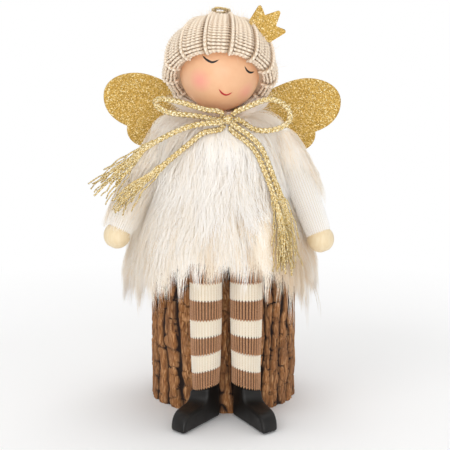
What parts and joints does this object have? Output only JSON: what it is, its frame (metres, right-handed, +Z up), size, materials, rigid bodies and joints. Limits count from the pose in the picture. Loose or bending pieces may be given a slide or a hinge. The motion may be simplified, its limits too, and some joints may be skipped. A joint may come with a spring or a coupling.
{
  "type": "angel doll",
  "caption": "Angel doll seated on a bark-covered log, with a ball head in a knitted hat, a fur coat, felt wings, bead hands, striped knitted legs and black boots.",
  "frame": {"origin": "centre of the log's flat underside, on the surface the doll stands on", "axes": "+Z up through the head, -Y the way the doll faces, +X to the right of someone who looks at its face"},
  "size_m": [0.1395, 0.13, 0.2241],
  "materials": {
    "bark": "rough ridged bark, cut wood on the end faces",
    "pale_wood": "smooth bare turned wood",
    "dowel_wood": "plain sanded wood, hidden",
    "skin_paint": "satin paint on a turned wooden ball",
    "stuffing": "stuffed cotton, hidden",
    "hat_knit": "chunky beige knit",
    "sleeve_knit": "fine cream ribbed knit",
    "leg_knit": "brown and cream striped knit",
    "fur": "long soft white pile",
    "gold_felt": "felt covered in fine gold glitter",
    "gold_cord": "metallic chain-knitted cord",
    "boot_paint": "satin black paint on wood"
  },
  "bodies": {
    "body": {"log_seat": "bark", "seat_dowel": "dowel_wood", "stuffed_body": "stuffing", "neck_dowel": "dowel_wood", "fur_coat": "fur", "wings": "gold_felt", "neck_cord": "gold_cord", "bow_knot": "gold_cord", "bow_loop_left": "gold_cord", "bow_loop_right": "gold_cord", "tail_left_upper": "gold_cord", "tail_left_lower": "gold_cord", "tail_right_front": "gold_cord", "tail_right_back": "gold_cord"},
    "head": {"head_ball": "skin_paint", "hat": "hat_knit", "crown": "gold_felt", "hat_loop": "gold_cord"},
    "left_arm": {"left_sleeve": "sleeve_knit", "left_arm_cord": "stuffing", "left_hand": "pale_wood"},
    "left_leg": {"left_leg": "leg_knit", "left_leg_dowel": "dowel_wood"},
    "left_boot": {"left_boot": "boot_paint"},
    "right_arm": {"right_sleeve": "sleeve_knit", "right_arm_cord": "stuffing", "right_hand": "pale_wood"},
    "right_leg": {"right_leg": "leg_knit", "right_leg_dowel": "dowel_wood"},
    "right_boot": {"right_boot": "boot_paint"}
  },
  "joints": [
    {"name": "head_turn", "type": "hinge", "parent": "body", "child": "head", "pos_m": [-0.002, -0.004, 0.1655], "axis": [0, 0, 1], "range_deg": [-30, 30]},
    {"name": "left_arm_raise", "type": "hinge", "parent": "body", "child": "left_arm", "pos_m": [-0.034, -0.01, 0.15], "axis": [0, 1, 0], "range_deg": [0, 60]},
    {"name": "right_arm_raise", "type": "hinge", "parent": "body", "child": "right_arm", "pos_m": [0.034, -0.01, 0.15], "axis": [0, -1, 0], "range_deg": [0, 60]},
    {"name": "left_leg_swing", "type": "hinge", "parent": "body", "child": "left_leg", "pos_m": [-0.0096, -0.04948, 0.0933], "axis": [-1, 0, 0], "range_deg": [0, 40]},
    {"name": "right_leg_swing", "type": "hinge", "parent": "body", "child": "right_leg", "pos_m": [0.0124, -0.04885, 0.0933], "axis": [-1, 0, 0], "range_deg": [0, 40]},
    {"name": "left_boot_turn", "type": "hinge", "parent": "left_leg", "child": "left_boot", "pos_m": [-0.0096, -0.04948, 0.0196], "axis": [0, 0, 1], "range_deg": [-15, 25]},
    {"name": "right_boot_turn", "type": "hinge", "parent": "right_leg", "child": "right_boot", "pos_m": [0.0124, -0.04885, 0.0196], "axis": [0, 0, -1], "range_deg": [-15, 22]}
  ]
}
